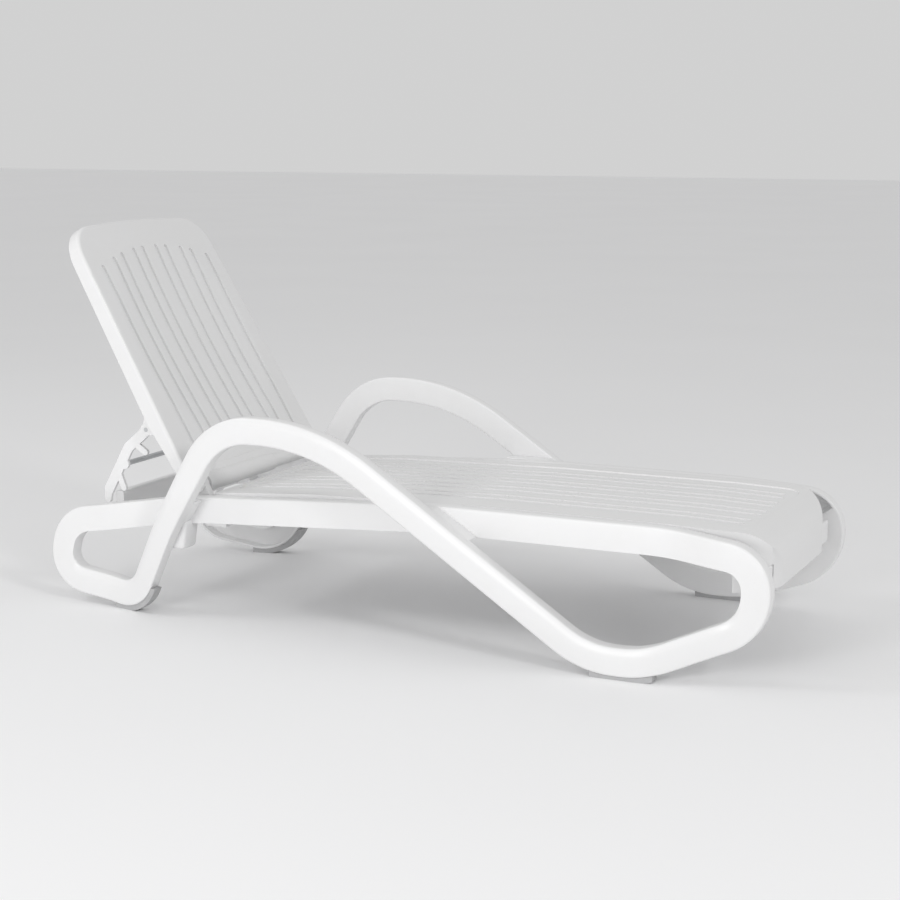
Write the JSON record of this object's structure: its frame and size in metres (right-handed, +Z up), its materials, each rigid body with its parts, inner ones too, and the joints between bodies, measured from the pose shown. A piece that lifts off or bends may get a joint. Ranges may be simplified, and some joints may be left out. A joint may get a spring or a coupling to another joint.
{
  "type": "reclining sun lounger",
  "caption": "Moulded resin sun lounger with looped armrest side frames, a slatted deck and a hinged back held up by toothed stay arms.",
  "frame": {"origin": "centre of the footprint on the ground, with the back raised", "axes": "+X towards the foot end, +Y to the sitter's left, +Z up"},
  "size_m": [1.6574, 0.72, 0.8436],
  "materials": {
    "white_resin": "satin moulded resin, white",
    "bush_resin": "satin moulded resin, light grey",
    "foot_rubber": "matt light grey rubber",
    "tube_aluminium": "drawn, satin",
    "zinc_steel": "zinc plated"
  },
  "bodies": {
    "frame": {"seat_deck": "white_resin", "hinge_beam": "white_resin", "front_beam": "white_resin", "middle_beam": "white_resin", "rest_bar": "white_resin", "side_frame_left": "white_resin", "side_frame_right": "white_resin", "hinge_cap_left": "white_resin", "hinge_cap_right": "white_resin", "front_pad_left": "foot_rubber", "front_pad_right": "foot_rubber", "rear_pad_left": "foot_rubber", "rear_pad_right": "foot_rubber", "hinge_tube": "tube_aluminium", "beam_screws": "zinc_steel", "deck_screws": "zinc_steel"},
    "backrest": {"back_panel": "white_resin", "hinge_bushes_left": "bush_resin", "hinge_bushes_right": "bush_resin", "stay_bracket_left": "white_resin", "stay_bracket_right": "white_resin", "stay_pin_left": "zinc_steel", "stay_pin_right": "zinc_steel", "bracket_screws": "zinc_steel"},
    "stay": {"stay_arm_left": "white_resin", "stay_arm_right": "white_resin", "stay_tie_rod": "zinc_steel"}
  },
  "joints": [
    {"name": "back_recline", "type": "hinge", "parent": "frame", "child": "backrest", "pos_m": [-0.46995, 0, 0.286], "axis": [0, 1, 0], "range_deg": [-59.5, 0]},
    {"name": "stay_swing", "type": "hinge", "parent": "backrest", "child": "stay", "pos_m": [-0.60539, 0, 0.39772], "axis": [0, 1, 0], "range_deg": [0, 116.7]}
  ],
  "couplings": [
    {"joint": "stay_swing", "follows": "back_recline", "ratio": -1.96}
  ]
}
